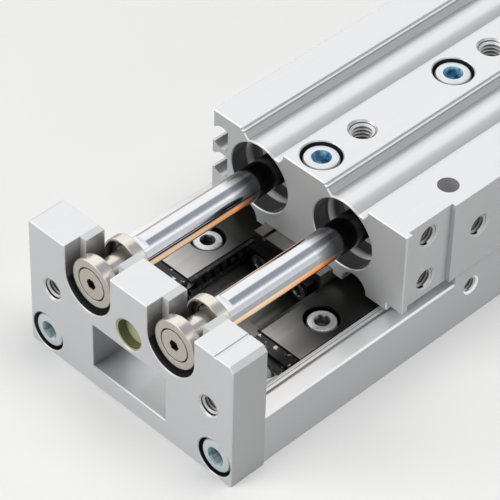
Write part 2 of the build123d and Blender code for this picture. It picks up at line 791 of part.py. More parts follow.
# Fixed group
write("cylinder_body", cylinder_body())
write("guide_rail", guide_rail())
write("rail_stop_plate", rail_stop_plate())
rail_screw_length = body_height - head_recess - m5["head_h"] - rail_bottom - rail_under_gap
write_group("rail_screws", [socket_screw(0, y, body_height, (0, 0, 1), m5, rail_screw_length)
                            for y in screw_stations])
write_group("rail_stop_screws", [flat_head_screw(side * stop_screw_spacing / 2, rail_front - stop_plate_thickness,
                                                 stop_screw_height, m2_5, stop_screw_length)
                                 for side in (-1, 1)])
for side, x in rod_sides.items():
    write("rod_cover_" + side, rod_cover(x))
    write("rod_seal_" + side, rod_seal(x))
    write("head_cap_" + side, head_cap(x))
    write("front_retaining_ring_" + side, retaining_ring(x, ring_grooves()[0], ring_turn))
    write("rear_retaining_ring_" + side, retaining_ring(x, ring_grooves()[1], ring_turn))
write_group("rod_cover_o_rings", [cover_o_ring(x, cover_front + o_ring_offset) for x in rod_sides.values()])
write_group("head_cap_o_rings", [cover_o_ring(x, chamber_rear + o_ring_offset) for x in rod_sides.values()])

# Sliding group
write("slide_table", slide_table())
write("end_plate", end_plate())
write_group("end_plate_screws", [socket_screw(x, plate_front, z, (0, -1, 0), m5,
                                              plate_thickness - head_recess - m5["head_h"] + plate_screw_engagement)
                                 for x, z in plate_screw_places()])
write("end_bumper", end_bumper())
write("guide_block", guide_block())
write_group("guide_block_screws", [socket_screw(x, y, block_top, (0, 0, 1), m4,
                                                block_height - head_recess - m4["head_h"] + block_screw_grip
                                                - shank_gap)
                                   for x, y in block_screw_places])
write_group("bearing_balls", balls())
for name, side in (("left", -1), ("right", 1)):
    write_group("ball_retainer_" + name, [ball_retainer(side)])
write("end_cap_front", end_cap(block_front, -1))
write("end_cap_rear", end_cap(block_rear, 1))
write("scraper_front", scraper(block_front - end_cap_thickness, -1))
write("scraper_rear", scraper(block_rear + end_cap_thickness, 1))
write_group("end_cap_screws", cap_screws())
for side, x in rod_sides.items():
    write("floating_bush_" + side, floating_bush(x))
    write("bush_screw_" + side, bush_screw(x))
    write("rod_collar_" + side, rod_collar(x))
    write("piston_rod_" + side, piston_rod(x))
    write("piston_" + side, piston(x))
    write("piston_seal_" + side, piston_band(x, 0))
    write("piston_magnet_" + side, piston_band(x, 1))
    write("wear_ring_" + side, piston_band(x, 2))
    write_group("piston_bumpers_" + side, piston_bumpers(x))
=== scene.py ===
import bmesh
import bpy
import json
import math
from collections import namedtuple
from mathutils import Matrix, Vector


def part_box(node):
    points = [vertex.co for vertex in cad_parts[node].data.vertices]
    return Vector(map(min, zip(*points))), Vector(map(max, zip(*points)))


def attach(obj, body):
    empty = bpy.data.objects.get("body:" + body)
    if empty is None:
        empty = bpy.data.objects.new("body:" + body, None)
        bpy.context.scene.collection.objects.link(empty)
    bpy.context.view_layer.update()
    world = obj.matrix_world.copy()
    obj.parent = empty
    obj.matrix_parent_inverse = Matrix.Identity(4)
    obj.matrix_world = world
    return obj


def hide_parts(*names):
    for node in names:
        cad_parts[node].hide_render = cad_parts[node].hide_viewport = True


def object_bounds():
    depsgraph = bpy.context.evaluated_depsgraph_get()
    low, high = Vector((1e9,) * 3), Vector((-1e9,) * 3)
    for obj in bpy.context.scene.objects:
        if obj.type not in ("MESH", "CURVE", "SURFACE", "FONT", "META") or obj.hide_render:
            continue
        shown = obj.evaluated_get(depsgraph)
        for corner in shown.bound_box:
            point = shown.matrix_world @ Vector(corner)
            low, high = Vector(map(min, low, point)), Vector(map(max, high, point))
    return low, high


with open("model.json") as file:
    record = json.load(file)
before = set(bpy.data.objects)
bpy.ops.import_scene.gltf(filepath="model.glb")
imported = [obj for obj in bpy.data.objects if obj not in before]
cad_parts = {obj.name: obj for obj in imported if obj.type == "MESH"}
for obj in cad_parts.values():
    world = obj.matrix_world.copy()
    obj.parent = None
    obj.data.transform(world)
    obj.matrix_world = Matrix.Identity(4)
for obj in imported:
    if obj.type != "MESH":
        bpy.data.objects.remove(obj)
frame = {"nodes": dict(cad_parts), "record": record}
cad_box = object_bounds()

# Cylinder body. One aluminium extrusion, sawn to length, bored, and clear anodised to a matte
# silver. The cut chamfers round its ends and bores are painted brighter than the drawn faces, as a
# highlight, and the drawn faces carry faint lines along the pull. Painted shade darkens its end faces,
# bores, holes, inner corners and channel walls.

mm = 0.001
nodes = frame["nodes"]
mounts = {m["name"]: m for m in frame["record"]["mounts"]}
silver = (0.86, 0.87, 0.875, 1)
chamfer_highlight = (0.98, 0.98, 0.98, 1)
end_face_shade = (0.02, 0.02, 0.02, 1)
nook_shade = (0.05, 0.05, 0.052, 1)
slope_shade = (0.25, 0.255, 0.26, 1)
white = (1, 1, 1, 1)
body_low, body_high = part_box("cylinder_body")
rod_low, rod_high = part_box("piston_rod_left")
rod_height = (rod_low.z + rod_high.z) / 2
rod_apart = -(rod_low.x + rod_high.x) / 2
bore_r = 8.95 * mm
bore_highlight_depth = 4.6 * mm
channel_depth = 3 * mm
counterbore_r = 4.9 * mm
m6_tap_r = 3.05 * mm
m5_tap_r = 2.55 * mm
pin_r = 2.6 * mm
m5_head_d = 8.5 * mm

# A painted light is painted shade or a painted highlight on a bored, cut or shaded place of a piece: its
# mask, how bright it is painted, its roughness, and a painted glow for the light its surroundings throw back
# on it.
PaintedLight = namedtuple("PaintedLight", "mask tone roughness bounced", defaults=(0,))


def blank(name):
    """A new material, with its node tree and its surface shader."""
    material = bpy.data.materials.new(name)
    material.use_nodes = True
    return material, material.node_tree, material.node_tree.nodes["Principled BSDF"]


def add(tree, kind, **settings):
    node = tree.nodes.new("ShaderNode" + kind)
    for key, value in settings.items():
        setattr(node, key, value)
    return node


def feed(tree, socket, value):
    """Give a socket a number, a colour or another node's output."""
    if isinstance(value, (tuple, int, float)):
        socket.default_value = value
    else:
        tree.links.new(value, socket)


def arithmetic(tree, operation, first, second=0):
    maths = add(tree, "Math", operation=operation)
    feed(tree, maths.inputs[0], first)
    feed(tree, maths.inputs[1], second)
    return maths.outputs["Value"]


def absolute(tree, value):
    return arithmetic(tree, "ABSOLUTE", value)


def product(tree, *factors):
    result = factors[0]
    for factor in factors[1:]:
        result = arithmetic(tree, "MULTIPLY", result, factor)
    return result


def square_of(tree, value):
    return product(tree, value, value)


def opposite(tree, mask):
    """0 where the mask is 1, and 1 where it is 0."""
    return arithmetic(tree, "SUBTRACT", 1, mask)


def spread(tree, source, low, high, low_to=0, high_to=1):
    """The source's stretch from low to high, mapped to another range and clamped."""
    mapped = add(tree, "MapRange")
    for key, value in (("From Min", low), ("From Max", high), ("To Min", low_to), ("To Max", high_to)):
        mapped.inputs[key].default_value = value
    tree.links.new(source, mapped.inputs["Value"])
    return mapped.outputs["Result"]


def blend(tree, kind, factor, first, second):
    mix = add(tree, "Mix", data_type=kind)
    for socket, value in zip([s for s in mix.inputs if s.enabled], (factor, first, second)):
        feed(tree, socket, value)
    return [s for s in mix.outputs if s.enabled][0]


def blend_colours(tree, factor, first, second):
    return blend(tree, "RGBA", factor, first, second)


def blend_values(tree, factor, first, second):
    return blend(tree, "FLOAT", factor, first, second)


def shade_of(colour, share):
    """The same colour, darker or lighter by a factor."""
    return tuple(share * c for c in colour[:3]) + (1,)


def parts_of(tree, source):
    """X, Y and Z of a texture coordinate: Object is the place on the piece in metres, and Normal is
    the way its face looks."""
    where = add(tree, "TexCoord")
    parts = add(tree, "SeparateXYZ")
    tree.links.new(where.outputs[source], parts.inputs["Vector"])
    return parts.outputs


def mottle(tree, stretch, detail=3.0):
    """Soft noise over the piece, with the given repeats per metre along each axis."""
    where = add(tree, "TexCoord")
    scale = add(tree, "Mapping")
    noise = add(tree, "TexNoise")
    scale.inputs["Scale"].default_value = stretch
    noise.inputs["Scale"].default_value = 1.0
    noise.inputs["Detail"].default_value = detail
    tree.links.new(where.outputs["Object"], scale.inputs["Vector"])
    tree.links.new(scale.outputs["Vector"], noise.inputs["Vector"])
    return noise.outputs["Fac"]


def relief(tree, shader, height, depth, edge=0.0):
    """Bump of the given depth in metres, over edges that are rounded by the edge radius."""
    bump = add(tree, "Bump")
    bump.inputs["Strength"].default_value = 1.0
    bump.inputs["Distance"].default_value = depth
    tree.links.new(height, bump.inputs["Height"])
    if edge:
        rounded = add(tree, "Bevel", samples=4)
        rounded.inputs["Radius"].default_value = edge
        tree.links.new(rounded.outputs["Normal"], bump.inputs["Normal"])
    tree.links.new(bump.outputs["Normal"], shader.inputs["Normal"])


def paint_glow(tree, shader, strength):
    """A faint white painted glow, standing in for the light that the surroundings throw back."""
    shader.inputs["Emission Color"].default_value = white
    tree.links.new(strength, shader.inputs["Emission Strength"])


def facing(tree, axis):
    """How squarely a face looks along one axis of the piece, from 0 to 1."""
    return absolute(tree, parts_of(tree, "Normal")[axis])


def turned_from(tree, axis):
    """0 on faces that look along the axis, 1 on the others."""
    return spread(tree, facing(tree, axis), 0.9, 0.95, 1, 0)


def chamfer_mask(tree, axis="Y"):
    """1 on faces cut at 45 degrees to the axis, 0 elsewhere."""
    turn = facing(tree, axis)
    return product(tree, spread(tree, turn, 0.60, 0.66), spread(tree, turn, 0.76, 0.82, 1, 0))


def hidden_from_light(tree, reach, low, high):
    """0 on open faces, 1 deep in a hole or slot of the same piece, within the reach in metres."""
    open_sky = add(tree, "AmbientOcclusion", samples=8, only_local=True)
    open_sky.inputs["Distance"].default_value = reach
    return spread(tree, open_sky.outputs["AO"], low, high, 1, 0)


def within(tree, distance, radius):
    """1 up to a radius, 0 beyond it."""
    return spread(tree, distance, radius, radius + 0.02 * mm, 1, 0)


def from_rods(tree):
    """Distance from the nearer rod's axis, in metres."""
    spot = parts_of(tree, "Object")
    across = arithmetic(tree, "SUBTRACT", absolute(tree, spot["X"]), rod_apart)
    rise = arithmetic(tree, "SUBTRACT", spot["Z"], rod_height)
    squares = arithmetic(tree, "ADD", square_of(tree, across), square_of(tree, rise))
    return arithmetic(tree, "SQRT", squares)


def holes(centres, axis, radius):
    """A mask of the walls and floors of round holes along one axis."""
    flat = tuple(0.0 if letter == axis else 1.0 for letter in "XYZ")

    def mask(tree):
        where = add(tree, "TexCoord")
        nearest = 1000 * mm
        for centre in centres:
            pressed = add(tree, "VectorMath", operation="MULTIPLY")
            tree.links.new(where.outputs["Object"], pressed.inputs[0])
            pressed.inputs[1].default_value = flat
            gap = add(tree, "VectorMath", operation="DISTANCE")
            tree.links.new(pressed.outputs["Vector"], gap.inputs[0])
            gap.inputs[1].default_value = tuple(c * f for c, f in zip(centre, flat))
            nearest = arithmetic(tree, "MINIMUM", gap.outputs["Value"], nearest)
        return product(tree, within(tree, nearest, radius), turned_from(tree, axis))

    return mask


def bore_wall(tree):
    """The walls of the two bores, which are painted dark as shade."""
    return product(tree, within(tree, from_rods(tree), bore_r), turned_from(tree, "Y"))


def bore_highlight(tree):
    """A painted highlight: a bright, uneven band just inside the front mouths of the bores, with a faint
    painted glow.
    """
    y = parts_of(tree, "Object")["Y"]
    start = body_low.y + bore_highlight_depth
    rise = spread(tree, y, start, start + 0.3 * mm)
    fall = spread(tree, y, start + 0.9 * mm, start + 2.4 * mm, 1, 0)
    uneven = spread(tree, mottle(tree, (90, 90, 90)), 0.35, 0.6, 0.3, 1)
    return product(tree, bore_wall(tree), rise, fall, uneven)


def channel_wall(tree):
    """The steep left walls of the two channels along the top, which are painted darker as shade."""
    look = parts_of(tree, "Normal")
    floor_z = body_high.z - channel_depth
    return product(tree, spread(tree, look["X"], 0.6, 0.66), spread(tree, look["Z"], 0.6, 0.66),
                   spread(tree, parts_of(tree, "Object")["Z"], floor_z, floor_z + 0.2 * mm))


def anodised(name, colour, lines, painted_lights=(), end_tone=1.0, chamfered="Y", metal=0.4, polish=0.28,
             nooks=0.5, edge_glow=0.0):
    """Matte anodised aluminium. lines holds the repeats of its drawn lines per metre, and end_tone is
    how bright the faces across Y are painted, as shade. chamfered names the axes whose cut chamfers get a
    painted highlight, and edge_glow is a painted glow on the chamfers across X, for bounced light. polish is
    the roughness, and nooks how dark the painted shade in inner corners gets."""
    material, tree, shader = blank(name)
    side = turned_from(tree, "Y")
    drawn = product(tree, mottle(tree, lines), side)
    cloud = mottle(tree, (40, 40, 40), 2.0)
    tone = blend_colours(tree, spread(tree, drawn, 0.35, 0.65), colour, shade_of(colour, 0.985))
    tone = blend_colours(tree, spread(tree, cloud, 0.3, 0.7, 0, 0.4), tone, shade_of(colour, 0.95))
    # Painted shade: the faces across Y are darkened by end_tone.
    tone = blend_colours(tree, product(tree, opposite(tree, side), 1 - end_tone), tone, end_face_shade)
    # Painted shade in inner corners and hollows.
    hidden = product(tree, hidden_from_light(tree, 7 * mm, 0.30, 0.85), side)
    tone = blend_colours(tree, product(tree, hidden, nooks), tone, nook_shade)
    # Painted highlight on the cut chamfers.
    for axis in chamfered:
        tone = blend_colours(tree, chamfer_mask(tree, axis), tone, chamfer_highlight)
    # Painted shade on faces that lean up and to the left, and a little on those that lean to the right.
    look = parts_of(tree, "Normal")
    upward = spread(tree, look["Z"], 0.5, 0.7)
    leaning_left = product(tree, spread(tree, look["X"], -0.38, -0.04, 1, 0), upward, 0.6)
    leaning_right = product(tree, spread(tree, look["X"], 0.12, 0.55), upward, 0.2)
    tone = blend_colours(tree, arithmetic(tree, "ADD", leaning_left, leaning_right), tone, slope_shade)
    gloss = blend_values(tree, side, 0.5, spread(tree, drawn, 0.3, 0.7, polish, polish + 0.03))
    # Painted glow on the chamfers across X, plus the glow of the painted lights.
    glow = product(tree, chamfer_mask(tree, "X"), edge_glow)
    for light_mark in painted_lights:
        light_mask = light_mark.mask(tree)
        tone = blend_colours(tree, light_mask, tone, (light_mark.tone, light_mark.tone, light_mark.tone, 1))
        gloss = blend_values(tree, light_mask, gloss, light_mark.roughness)
        glow = arithmetic(tree, "ADD", product(tree, light_mask, light_mark.bounced), glow)
    tree.links.new(tone, shader.inputs["Base Color"])
    tree.links.new(gloss, shader.inputs["Roughness"])
    shader.inputs["Metallic"].default_value = metal
    paint_glow(tree, shader, glow)
    relief(tree, shader, drawn, 0.0008 * mm, 0.15 * mm)
    return material


def dress(material, *names):
    for name in names:
        slots = nodes[name].data.materials
        slots.clear()
        slots.append(material)


def mount_place(name):
    return Vector(mounts[name]["pos_m"])


def mount_pair(name, spacing, axis):
    """The places of a mount's two holes, which lie its spacing apart along an axis."""
    half = Vector(axis) * (mounts[name]["dims"][spacing] * mm / 2)
    return [mount_place(name) + side * half for side in (-1, 1)]


rail_low, rail_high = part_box("rail_screws")
rail_screw_pitch = (rail_high.y - rail_low.y - m5_head_d) / 2
rail_screw_places = [Vector((0, rail_low.y + m5_head_d / 2 + i * rail_screw_pitch, rail_high.z))
                     for i in range(3)]
pin_place = mount_place("cylinder_locating_hole")
m6_places = mount_pair("cylinder_m6_taps", "spacing_y_mm", (0, 1, 0))
pad_places = mount_pair("cylinder_side_m5_taps", "spacing_y_mm", (0, 0, 1))
port_places = [mount_place(end + "_port") for end in ("front", "rear")]
# Painted shade darkens the bore walls, the counterbores, the tapped and pin holes and the channels' left
# walls. The bore mouths get a painted highlight, and the bores and the pin hole a faint painted glow.
dress(anodised("drawn_silver", silver, (1500, 30, 1500),
               [PaintedLight(bore_wall, 0.12, 0.25, 0.012),
                PaintedLight(bore_highlight, 0.5, 0.2, 0.20),
                PaintedLight(holes(rail_screw_places, "Z", counterbore_r), 0.04, 0.4),
                PaintedLight(holes(m6_places, "Z", m6_tap_r), 0.02, 0.4),
                PaintedLight(holes(pad_places + port_places, "X", m5_tap_r), 0.02, 0.4),
                PaintedLight(holes([pin_place], "Z", pin_r), 0.2, 0.5, 0.11),
                PaintedLight(channel_wall, 0.50, 0.4)],
               end_tone=0.82, metal=0.5, polish=0.22), "cylinder_body")

# Threads. Each tapped hole was cut with a tap after anodising, so its ridges are bare, bright
# aluminium. They are modelled as real helical ridges that stand in the plain bored holes.

m6, m5, m4 = (6 * mm, 1.0 * mm), (5 * mm, 0.8 * mm), (4 * mm, 0.7 * mm)
thread_start = 0.25 * mm
thread_steps = 20
sharp_edge = math.radians(35)


def tapped_metal():
    material, tree, shader = blank("cut_thread")
    shade = mottle(tree, (900, 900, 900))
    bright = blend_colours(tree, shade, (0.72, 0.71, 0.70, 1), (0.92, 0.91, 0.90, 1))
    # Painted shade: the grooves between the ridges are darkened to near black.
    painted_dark_band = hidden_from_light(tree, 0.7 * mm, 0.25, 0.72)
    tone = blend_colours(tree, painted_dark_band, bright, (0.01, 0.01, 0.01, 1))
    tree.links.new(tone, shader.inputs["Base Color"])
    shader.inputs["Metallic"].default_value = 0.5
    shader.inputs["Roughness"].default_value = 0.28
    relief(tree, shader, shade, 0.005 * mm)
    return material


thread_metal = tapped_metal()


def built(name, bm, material, body, turn=Matrix.Identity(4)):
    """Turn a finished bmesh into a piece that rides on a body."""
    bmesh.ops.recalc_face_normals(bm, faces=bm.faces)
    bmesh.ops.transform(bm, matrix=turn, verts=bm.verts)
    mesh = bpy.data.meshes.new(name)
    bm.to_mesh(mesh)
    bm.free()
    mesh.materials.append(material)
    mesh.shade_smooth()
    mesh.set_sharp_from_angle(angle=sharp_edge)
    piece = bpy.data.objects.new(name, mesh)
    bpy.context.scene.collection.objects.link(piece)
    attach(piece, body)
    return piece


def standing(place, axis):
    """Moves a piece built along +Z to a place, its top looking along the axis."""
    turn = Vector((0, 0, 1)).rotation_difference(Vector(axis)).to_matrix().to_4x4()
    return Matrix.Translation(place) @ turn


def thread(name, mouth, axis, size, depth, body):
    """A helical ridge with a flat crest that fills a bored hole from just under its mouth; size is
    its diameter and its pitch."""
    diameter, pitch = size
    outer = diameter / 2 - 0.01 * mm
    crest = outer - 0.62 * pitch
    turns = int((depth - thread_start) / pitch) - 1
    steps = thread_steps * turns
    bm = bmesh.new()
    section = [bm.verts.new((r, 0, z)) for r, z in ((outer, -0.45 * pitch), (crest, -0.08 * pitch),
                                                    (crest, 0.08 * pitch), (outer, 0.45 * pitch))]
    edges = [bm.edges.new((section[i], section[(i + 1) % 4])) for i in range(4)]
    bmesh.ops.translate(bm, verts=section, vec=(0, 0, -thread_start - 0.5 * pitch))
    bmesh.ops.spin(bm, geom=section + edges, cent=(0, 0, 0), axis=(0, 0, 1), angle=math.tau * turns,
                   dvec=(0, 0, -pitch * turns / steps), steps=steps)
    bmesh.ops.holes_fill(bm, edges=[e for e in bm.edges if e.is_boundary])
    built(name, bm, thread_metal, body, standing(mouth, axis))


def threads(name, mouths, axis, size, depth, body):
    for number, mouth in enumerate(mouths, 1):
        thread("%s_%d" % (name, number), mouth, axis, size, depth, body)


threads("thread_top", m6_places, (0, 0, 1), m6, 9 * mm, "cylinder")
port_mouths = [(body_high.x, port.y, port.z) for port in port_places]
threads("thread_port", port_mouths, (1, 0, 0), m5, 11 * mm, "cylinder")
threads("thread_pad", pad_places, (1, 0, 0), m5, 6 * mm, "cylinder")

# End plate. Milled from aluminium bar and clear anodised, with the same matte silver skin as the
# body. Two slots take the rods' floating bushes, a window opens below the bumper, and two screws
# hold the plate to the table's end.

slot_half = 7.25 * mm
window_half = 11.5 * mm
window_top = 18 * mm


def slot_wall(tree):
    """The walls of the slots for the bushes, painted dark as shade: 1 at the rods' height, fading out
    towards the top.
    """
    spot = parts_of(tree, "Object")
    aside = absolute(tree, arithmetic(tree, "SUBTRACT", absolute(tree, spot["X"]), rod_apart))
    fade = spread(tree, spot["Z"], rod_height + 0.5 * mm, rod_height + 9 * mm, 1, 0)
    above = spread(tree, spot["Z"], rod_height - 8 * mm, rod_height - 7.5 * mm)
    flat = opposite(tree, chamfer_mask(tree))
    return product(tree, within(tree, aside, slot_half), fade, above, turned_from(tree, "Y"), flat)


def window_wall(tree):
    """The side walls and the floor of the window, painted dark as shade, more so towards its left corner."""
    spot = parts_of(tree, "Object")
    side = within(tree, absolute(tree, spot["X"]), window_half + 0.1 * mm)
    below = spread(tree, spot["Z"], window_top, window_top + 0.1 * mm, 1, 0)
    shade = spread(tree, spot["X"], -window_half, 0, 0.55, 0)
    return product(tree, side, below, shade, turned_from(tree, "Y"))


def plate_flank(tree):
    """All faces that look left or right, painted darker as shade, since the lamps light them less."""
    return spread(tree, facing(tree, "X"), 0.95, 0.98, 0, 0.35)


plate_low, plate_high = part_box("end_plate_screws")
plate_screw_places = [Vector((x, plate_low.y, (plate_low.z + plate_high.z) / 2))
                      for x in (plate_low.x + m5_head_d / 2, plate_high.x - m5_head_d / 2)]
plate_tap_places = mount_pair("end_plate_m5_taps", "spacing_x_mm", (1, 0, 0))
# Painted shade darkens the walls of the slots and the window, the plate's flanks, its counterbores and its
# tapped holes.
dress(anodised("milled_silver", silver, (300, 300, 120),
               [PaintedLight(slot_wall, 0.04, 0.25),
                PaintedLight(window_wall, 0.05, 0.4),
                PaintedLight(plate_flank, 0.45, 0.3),
                PaintedLight(holes(plate_screw_places, "Y", counterbore_r), 0.01, 0.4),
                PaintedLight(holes(plate_tap_places, "Y", m5_tap_r), 0.02, 0.4)]), "end_plate")
threads("thread_plate", plate_tap_places, (0, -1, 0), m5, 10 * mm, "table")

# Slide table. Milled from one aluminium bar as a trough that the cylinder body stands in, and
# clear anodised. Its chamfered upper edges carry a painted highlight and glow, as do the tops of its
# side walls, and its tapped holes hold the load.

table_low, table_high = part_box("slide_table")
table_tap_x, table_tap_y = 27.8 * mm, 25 * mm


def square_to(tree, axis, most=1):
    """Up to most on faces that look along the axis, 0 on the others."""
    return spread(tree, facing(tree, axis), 0.9, 0.95, 0, most)


def wall_highlight(tree):
    """The upper faces of the side walls in front of the cylinder body, which get a painted highlight and a
    faint painted glow for the tent's light.
    """
    spot = parts_of(tree, "Object")
    outer = spread(tree, absolute(tree, spot["X"]), table_high.x - 7 * mm, table_high.x - 6 * mm)
    ahead = spread(tree, spot["Y"], table_low.y + 8 * mm, body_low.y - 4 * mm, 1, 0)
    top = spread(tree, spot["Z"], table_high.z - 3 * mm, table_high.z - 2 * mm)
    return product(tree, outer, ahead, square_to(tree, "Z"), top)


# The tops of the side walls get a painted highlight and glow, and the chamfers a painted highlight and glow.
dress(anodised("table_silver", silver, (900, 20, 900), [PaintedLight(wall_highlight, 0.92, 0.28, 0.20)],
               chamfered="XY", nooks=0.3, edge_glow=0.25), "slide_table")
side_tap = mount_place("table_side_m4_tap")
thread("thread_table_side", (table_high.x, side_tap.y, side_tap.z), (1, 0, 0), m4, 5 * mm, "table")
table_tap_places = [mount_place("table_m5_taps") + Vector((x * table_tap_x, y * table_tap_y, 0))
                    for y in (-1, 1) for x in (-1, 1)]
threads("thread_table", table_tap_places, (0, 0, -1), m5, 8 * mm, "table")

# Socket head screws. Cold-headed steel with a hexagon socket: blue zinc on the rail's screws,
# pale zinc on the plate's, and plain bright steel on the guide block's.

# Head diameter, head height, socket width and shank diameter.
m5_screw = (m5_head_d, 5 * mm, 4 * mm, 5 * mm)
m4_screw = (7 * mm, 4 * mm, 3.2 * mm, 4 * mm)


def plated(name, colour, second, roughness, metal=0.8, recessed=0.0, glint=0.0):
    """Plated or bare screw steel in two mottled colours. recessed is how dark the painted shade down in a
    socket gets, and glint how strong a painted glow for bounced light it shows in places."""
    material, tree, shader = blank(name)
    patch = mottle(tree, (600, 600, 600))
    tone = blend_colours(tree, spread(tree, patch, 0.35, 0.65), colour, second)
    if recessed:
        # Painted shade deep down in the socket.
        socket_shade = product(tree, hidden_from_light(tree, 4 * mm, 0.25, 0.75), recessed)
        tone = blend_colours(tree, socket_shade, tone, shade_of(colour, 0.12))
    tree.links.new(tone, shader.inputs["Base Color"])
    gloss = spread(tree, patch, 0.3, 0.7, roughness, roughness + 0.1)
    tree.links.new(gloss, shader.inputs["Roughness"])
    shader.inputs["Metallic"].default_value = metal
    if glint:
        # Painted glints: a glow in places.
        paint_glow(tree, shader, spread(tree, mottle(tree, (130, 130, 130)), 0.45, 0.65, 0.02, glint))
    relief(tree, shader, patch, 0.004 * mm)
    return material


def socket_head(bm, head_d, head_h, hexagon, shank_d, length, turn):
    """Add a cap screw to bm. It is made along +Z with its top face at z = 0, then turned into place."""
    around = 48
    rim = 0.12 * head_d / 2
    mouth_r = 1.18 * hexagon / 2
    outline = [(mouth_r, 0), (head_d / 2 - rim - 0.02 * head_d, 0),
               (head_d / 2 - 0.03 * head_d, -0.25 * rim), (head_d / 2, -rim), (head_d / 2, -head_h),
               (shank_d / 2, -head_h), (shank_d / 2, -head_h - length)]
    made = bmesh.new()
    line = [made.verts.new((r, 0, z)) for r, z in outline]
    edges = [made.edges.new(pair) for pair in zip(line, line[1:])]
    bmesh.ops.spin(made, geom=line + edges, cent=(0, 0, 0), axis=(0, 0, 1), angle=math.tau,
                   steps=around, use_merge=True)
    mouth = [e for e in made.edges if e.is_boundary and e.verts[0].co.z > -0.5 * head_h]
    corner_r = hexagon / 2 / math.cos(math.pi / 6)
    corners = bmesh.ops.create_circle(made, segments=6, radius=corner_r)["verts"]
    sides = list({e for v in corners for e in v.link_edges})
    bmesh.ops.subdivide_edges(made, edges=sides, cuts=around // 6 - 1)
    ring = [e for e in made.edges if e.is_wire]
    bmesh.ops.translate(made, verts=list({v for e in ring for v in e.verts}), vec=(0, 0, -0.1 * head_h))
    bmesh.ops.bridge_loops(made, edges=mouth + ring)
    wall = bmesh.ops.extrude_edge_only(made, edges=ring)["geom"]
    foot = [g for g in wall if isinstance(g, bmesh.types.BMVert)]
    bmesh.ops.translate(made, verts=foot, vec=(0, 0, -0.5 * head_h))
    foot_edges = [g for g in wall if isinstance(g, bmesh.types.BMEdge) and g.is_boundary]
    floor_faces = bmesh.ops.holes_fill(made, edges=foot_edges)["faces"]
    tip = bmesh.ops.poke(made, faces=floor_faces)["verts"]
    bmesh.ops.translate(made, verts=tip, vec=(0, 0, -0.1 * head_h))
    for face in made.faces:
        if face.calc_center_median().xy.length < mouth_r:
            face.material_index = 1
    bmesh.ops.holes_fill(made, edges=[e for e in made.edges if e.is_boundary])
    bmesh.ops.remove_doubles(made, verts=made.verts, dist=0.0005 * mm)
    bmesh.ops.recalc_face_normals(made, faces=made.faces)
    bmesh.ops.transform(made, matrix=turn, verts=made.verts)
    screw = bpy.data.meshes.new("screw")
    made.to_mesh(screw)
    made.free()
    bm.from_mesh(screw)
    bpy.data.meshes.remove(screw)


def screw_set(node, places, axis, sizes, length, materials, body):
    """Screws that replace one CAD node; places are their heads' top centres, and the materials are
    the head's and the socket's."""
    bm = bmesh.new()
    for place in places:
        socket_head(bm, *sizes, length, standing(place, axis))
    piece = built(node + "_finished", bm, materials[0], body)
    piece.data.materials.append(materials[1])
    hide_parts(node)


blue_zinc = plated("blue_zinc", (0.84, 0.87, 0.89, 1), (0.76, 0.81, 0.84, 1), 0.26, 0.5)
# Painted shade darkens the sockets deep down, and their light patches stand in for painted glints.
blue_socket = plated("blue_zinc_socket", (0.03, 0.20, 0.42, 1), (0.50, 0.85, 1.0, 1), 0.2, 0.3, 0.35)
pale_zinc = plated("pale_zinc", (0.76, 0.86, 0.88, 1), (0.84, 0.91, 0.93, 1), 0.28, 0.3)
pale_socket = plated("pale_zinc_socket", (0.30, 0.52, 0.56, 1), (0.80, 0.92, 0.94, 1), 0.2, 0.3, 0.6)
bright_steel = plated("bright_steel", (0.90, 0.91, 0.91, 1), (0.80, 0.81, 0.82, 1), 0.22, 0.6)
dark_socket = plated("dark_socket", (0.10, 0.12, 0.13, 1), (0.55, 0.60, 0.62, 1), 0.2, 0.6, 0.6)

screw_set("rail_screws", rail_screw_places, (0, 0, 1), m5_screw, rail_high.z - rail_low.z - m5_screw[1],
          (blue_zinc, blue_socket), "cylinder")
screw_set("end_plate_screws", plate_screw_places, (0, -1, 0), m5_screw,
          plate_high.y - plate_low.y - m5_screw[1], (pale_zinc, pale_socket), "table")
low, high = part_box("guide_block_screws")
m4_head_r = m4_screw[0] / 2
block_screw_pitch = (high.y - low.y) / 2 - m4_head_r
block_screw_places = [Vector((x, low.y + m4_head_r + i * block_screw_pitch, high.z))
                      for x in (low.x + m4_head_r, high.x - m4_head_r) for i in range(3)]
screw_set("guide_block_screws", block_screw_places, (0, 0, 1), m4_screw, high.z - low.z - m4_screw[1],
          (bright_steel, dark_socket), "table")

# Small screws and retaining rings. The end caps' screws and the spring steel rings in the bores
# are bare steel with a film of oil, and the two screws of the stop plate are blackened.

# The oiled steel gets faint painted glints, a glow in places.
oiled = plated("oiled_steel", (0.62, 0.62, 0.62, 1), (0.80, 0.79, 0.78, 1), 0.3, 0.3, glint=0.10)
dress(oiled, "end_cap_screws",
      *[end + "_retaining_ring_" + side for end in ("front", "rear") for side in ("left", "right")])
blackened = plated("blackened_steel", (0.05, 0.05, 0.05, 1), (0.20, 0.20, 0.19, 1), 0.2)
stop_low, stop_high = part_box("rail_stop_screws")
stop_head_d = stop_high.z - stop_low.z
stop_screw = (stop_head_d, 0.5 * stop_head_d, 0.5 * stop_head_d, 0.5 * stop_head_d)
stop_screw_places = [(x, stop_low.y, (stop_low.z + stop_high.z) / 2)
                     for x in (stop_low.x + stop_head_d / 2, stop_high.x - stop_head_d / 2)]
screw_set("rail_stop_screws", stop_screw_places, (0, -1, 0), stop_screw, 10 * mm,
          (blackened, dark_socket), "cylinder")

# Piston rods. Ground steel bar, hard chromed and polished. A painted reflection, a warm copper-coloured
# band that also glows, runs along the right flank of each rod, with a faint twin on its left shoulder and a
# painted dark line above it, and painted shade darkens the rods where they enter the bores.

warm_reflection_pale = (1.0, 0.68, 0.42, 1)
warm_reflection_deep = (1.0, 0.28, 0.0, 1)
warm_reflection_core = (1.0, 0.82, 0.66, 1)


